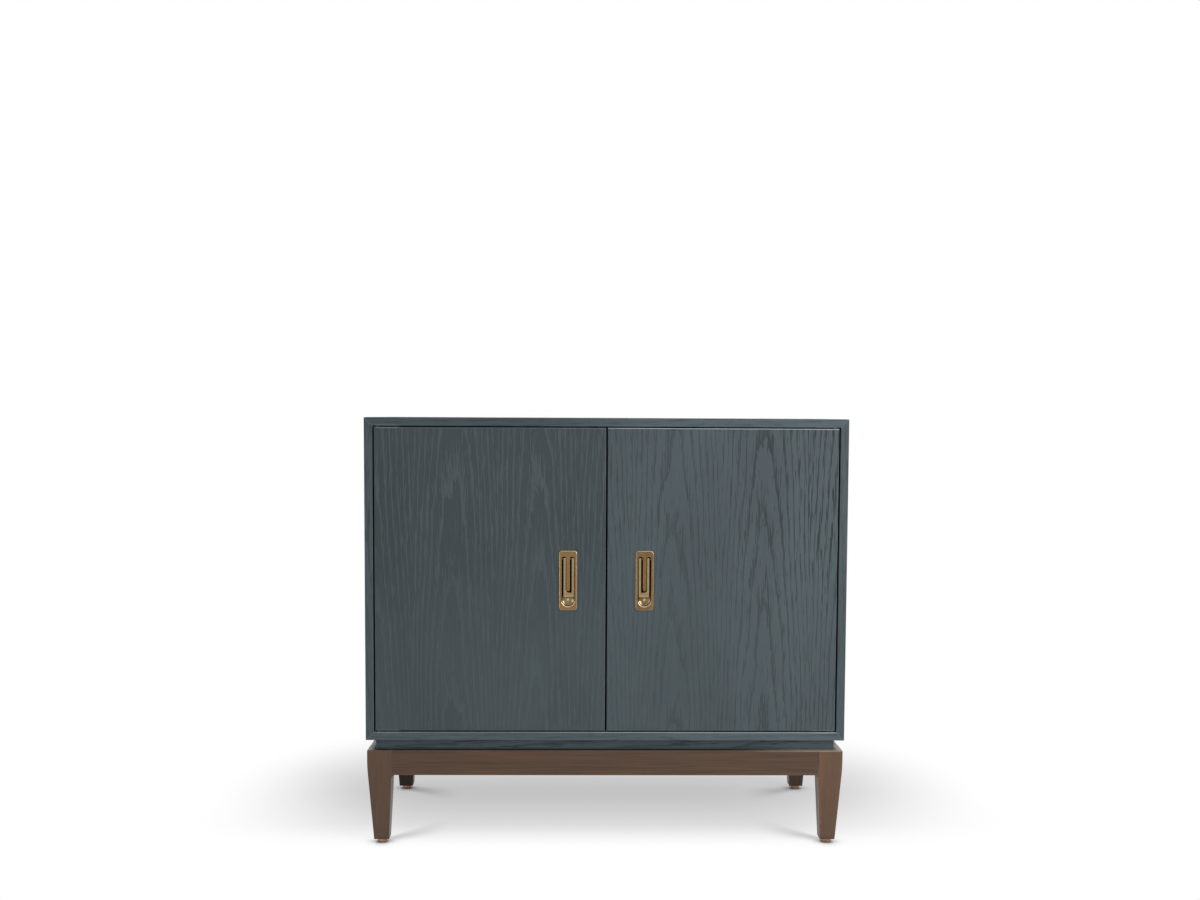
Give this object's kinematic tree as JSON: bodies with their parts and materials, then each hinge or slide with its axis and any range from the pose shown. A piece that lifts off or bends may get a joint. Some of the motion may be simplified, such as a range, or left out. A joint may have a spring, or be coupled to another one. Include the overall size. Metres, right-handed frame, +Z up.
{
  "type": "two-door cabinet",
  "caption": "Low slate-painted wooden cabinet with hinged flush doors, brass drop-bail pulls, an inner shelf and a set-back plinth on a stained base with tapered legs.",
  "frame": {"origin": "on the floor under the middle of the bounding box", "axes": "+X to the right as seen from the front, +Y to the back, +Z up; the doors face -Y"},
  "size_m": [0.914, 0.4588, 0.818],
  "materials": {
    "slate_paint": "satin slate-grey paint over open-grained veneer",
    "brown_stain": "satin brown stain",
    "plain_wood": "bare wood",
    "antique_brass": "antique brass, rubbed on the edges",
    "plated_steel": "zinc plated",
    "bronze": "bronze",
    "washer_plastic": "matt black",
    "black_steel": "black oxide",
    "catch_plastic": "matt dark brown",
    "magnet": "matt"
  },
  "bodies": {
    "case": {"case_top": "slate_paint", "case_bottom": "slate_paint", "left_side": "slate_paint", "right_side": "slate_paint", "back_panel": "slate_paint", "shelf": "slate_paint", "back_panel_screws": "plated_steel", "shelf_pins": "plated_steel", "plinth_front": "slate_paint", "plinth_back": "slate_paint", "plinth_left": "slate_paint", "plinth_right": "slate_paint", "front_apron": "brown_stain", "back_apron": "brown_stain", "left_apron": "brown_stain", "right_apron": "brown_stain", "front_left_leg": "brown_stain", "front_right_leg": "brown_stain", "back_left_leg": "brown_stain", "back_right_leg": "brown_stain", "corner_blocks": "plain_wood", "glides": "bronze", "base_bolts": "plated_steel", "catch_screws": "plated_steel", "left_case_leaves": "black_steel", "left_case_leaf_screws": "black_steel", "left_pivot_pins": "black_steel", "left_pivot_washers": "washer_plastic", "left_catch": "catch_plastic", "left_catch_magnet": "magnet", "right_case_leaves": "black_steel", "right_case_leaf_screws": "black_steel", "right_pivot_pins": "black_steel", "right_pivot_washers": "washer_plastic", "right_catch": "catch_plastic", "right_catch_magnet": "magnet"},
    "left_door": {"left_door_panel": "slate_paint", "left_door_leaves": "black_steel", "left_door_leaf_screws": "black_steel", "left_pull_plate": "antique_brass", "left_pull_pin": "antique_brass", "left_pull_screws": "plated_steel", "left_strike": "plated_steel", "left_strike_screws": "plated_steel"},
    "left_bail": {"left_pull_bail": "antique_brass"},
    "right_door": {"right_door_panel": "slate_paint", "right_door_leaves": "black_steel", "right_door_leaf_screws": "black_steel", "right_pull_plate": "antique_brass", "right_pull_pin": "antique_brass", "right_pull_screws": "plated_steel", "right_strike": "plated_steel", "right_strike_screws": "plated_steel"},
    "right_bail": {"right_pull_bail": "antique_brass"}
  },
  "joints": [
    {"name": "left_door_swing", "type": "hinge", "parent": "case", "child": "left_door", "pos_m": [-0.4325, -0.2216, 0.511], "axis": [0, 0, -1], "range_deg": [0, 105]},
    {"name": "right_door_swing", "type": "hinge", "parent": "case", "child": "right_door", "pos_m": [0.4325, -0.2216, 0.511], "axis": [0, 0, 1], "range_deg": [0, 105]},
    {"name": "left_bail_swing", "type": "hinge", "parent": "left_door", "child": "left_bail", "pos_m": [-0.0725, -0.2269, 0.5517], "axis": [-1, 0, 0], "range_deg": [0, 90]},
    {"name": "right_bail_swing", "type": "hinge", "parent": "right_door", "child": "right_bail", "pos_m": [0.0725, -0.2269, 0.5517], "axis": [-1, 0, 0], "range_deg": [0, 90]}
  ]
}
